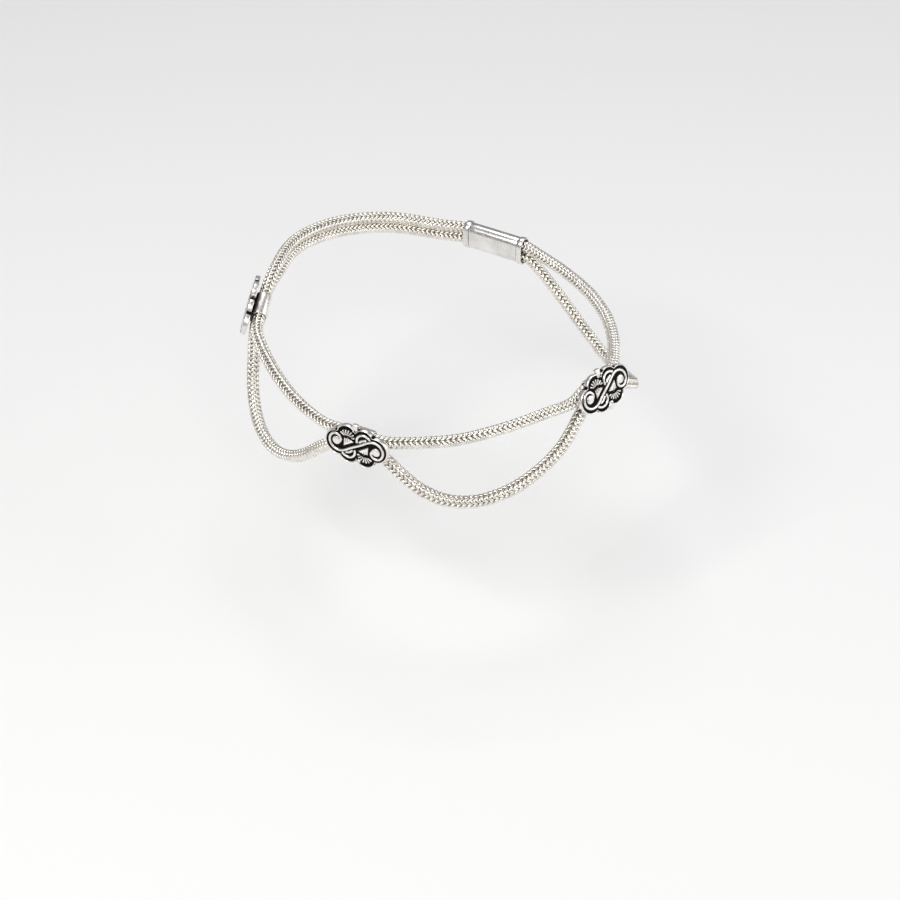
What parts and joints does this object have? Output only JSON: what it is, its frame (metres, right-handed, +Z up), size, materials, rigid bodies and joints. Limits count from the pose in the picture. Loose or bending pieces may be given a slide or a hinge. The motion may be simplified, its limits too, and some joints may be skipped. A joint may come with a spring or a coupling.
{
  "type": "anklet",
  "caption": "Worn anklet of knitted silver cords that run side by side through cast scroll sliders, the lower cord in swags, closed by a plain flat clasp.",
  "frame": {"origin": "middle of the hole that the ankle goes through, level with the upper cord", "axes": "+Z up the leg, -Y towards the toes, +X to the side of the slider nearest the toes"},
  "size_m": [0.0768, 0.0876, 0.0284],
  "materials": {
    "knitted_silver": "knitted silver wire, bright on the loops and darker between them",
    "cast_silver": "cast silver with blackened hollows and worn bright edges",
    "plain_silver": "smooth polished silver with fine scratches"
  },
  "bodies": {
    "root": {"upper_cord": "knitted_silver", "lower_cord": "knitted_silver", "slider_left": "cast_silver", "slider_front": "cast_silver", "slider_right": "cast_silver", "clasp": "plain_silver"}
  },
  "joints": []
}
